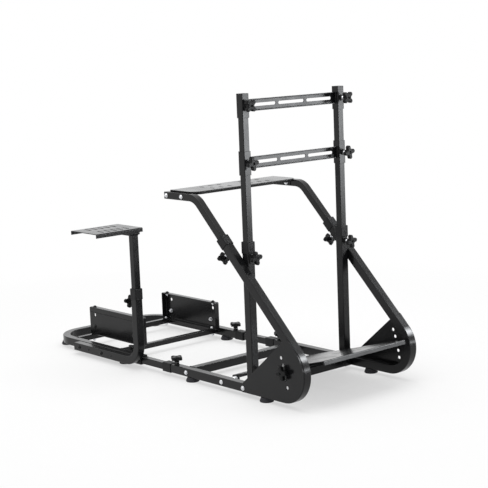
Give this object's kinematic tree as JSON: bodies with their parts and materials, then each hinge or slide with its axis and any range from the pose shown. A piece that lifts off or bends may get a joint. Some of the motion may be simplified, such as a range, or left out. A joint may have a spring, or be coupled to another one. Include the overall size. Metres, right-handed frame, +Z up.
{
  "type": "sim racing cockpit frame",
  "caption": "Open tubular steel driving simulator stand with wheel deck, pedal deck, screen masts, shifter stand and sliding seat base, locked by lobed knobs.",
  "frame": {"origin": "middle of the footprint's box, on the floor", "axes": "+X forward to the pedals, +Y to the driver's left, +Z up"},
  "size_m": [1.5076, 0.743, 1.018],
  "materials": {
    "black_steel": "semi-gloss black powder coat",
    "zinc_steel": "bright zinc plated",
    "collar_plastic": "fine-grained black moulding",
    "knob_plastic": "satin black moulding",
    "foot_rubber": "matte black rubber"
  },
  "bodies": {
    "base": {"right_side_tube": "black_steel", "left_side_tube": "black_steel", "right_gusset_plate": "black_steel", "left_gusset_plate": "black_steel", "right_mast_lower": "black_steel", "left_mast_lower": "black_steel", "mid_cross_tube": "black_steel", "front_cross_tube": "black_steel", "pedal_pivots": "zinc_steel", "pedal_knobs": "knob_plastic", "mast_collars": "collar_plastic", "mast_knobs": "knob_plastic", "arm_collars": "collar_plastic", "arm_knobs": "knob_plastic", "base_collars": "collar_plastic", "base_knobs": "knob_plastic", "base_feet": "foot_rubber"},
    "link_tubes": {"right_link_tube": "black_steel", "left_link_tube": "black_steel"},
    "seat_frame": {"seat_loop_tube": "black_steel", "seat_front_bar": "black_steel", "seat_rear_bar": "black_steel", "right_seat_bracket": "black_steel", "left_seat_bracket": "black_steel", "seat_collars": "collar_plastic", "seat_knobs": "knob_plastic", "seat_feet": "foot_rubber", "shifter_leg_tube": "black_steel", "shifter_leg_plug": "collar_plastic", "shifter_collar": "collar_plastic", "shifter_knob": "knob_plastic"},
    "shifter_top": {"shifter_post": "black_steel", "shifter_plate": "black_steel"},
    "wheel_deck": {"right_wheel_arm": "black_steel", "left_wheel_arm": "black_steel", "wheel_plate": "black_steel", "arm_end_caps": "collar_plastic"},
    "mast_top": {"right_mast_upper": "black_steel", "left_mast_upper": "black_steel", "mast_caps": "collar_plastic"},
    "upper_bar": {"upper_sleeves": "black_steel", "upper_monitor_bar": "black_steel", "upper_bar_knobs": "knob_plastic"},
    "lower_bar": {"lower_sleeves": "black_steel", "lower_monitor_bar": "black_steel", "lower_bar_knobs": "knob_plastic"},
    "pedal_deck": {"pedal_plate": "black_steel"}
  },
  "joints": [
    {"name": "link_slide", "type": "slide", "parent": "base", "child": "link_tubes", "axis": [-1, 0, 0], "range_m": [0, 0.04]},
    {"name": "seat_slide", "type": "slide", "parent": "link_tubes", "child": "seat_frame", "axis": [-1, 0, 0], "range_m": [-0.09, 0.12]},
    {"name": "wheel_slide", "type": "slide", "parent": "base", "child": "wheel_deck", "axis": [-0.7145, 0, 0.6997], "range_m": [-0.1, 0.1]},
    {"name": "mast_slide", "type": "slide", "parent": "base", "child": "mast_top", "axis": [0, 0, 1], "range_m": [-0.1, 0.15]},
    {"name": "upper_bar_slide", "type": "slide", "parent": "mast_top", "child": "upper_bar", "axis": [0, 0, 1], "range_m": [-0.04, 0]},
    {"name": "lower_bar_slide", "type": "slide", "parent": "mast_top", "child": "lower_bar", "axis": [0, 0, 1], "range_m": [-0.1, 0.06]},
    {"name": "shifter_slide", "type": "slide", "parent": "seat_frame", "child": "shifter_top", "axis": [0, 0, 1], "range_m": [-0.08, 0.04]},
    {"name": "pedal_tilt", "type": "hinge", "parent": "base", "child": "pedal_deck", "pos_m": [0.31518, 0.0825, 0.031], "axis": [0, -1, 0], "range_deg": [-8.4, 8.4]}
  ]
}
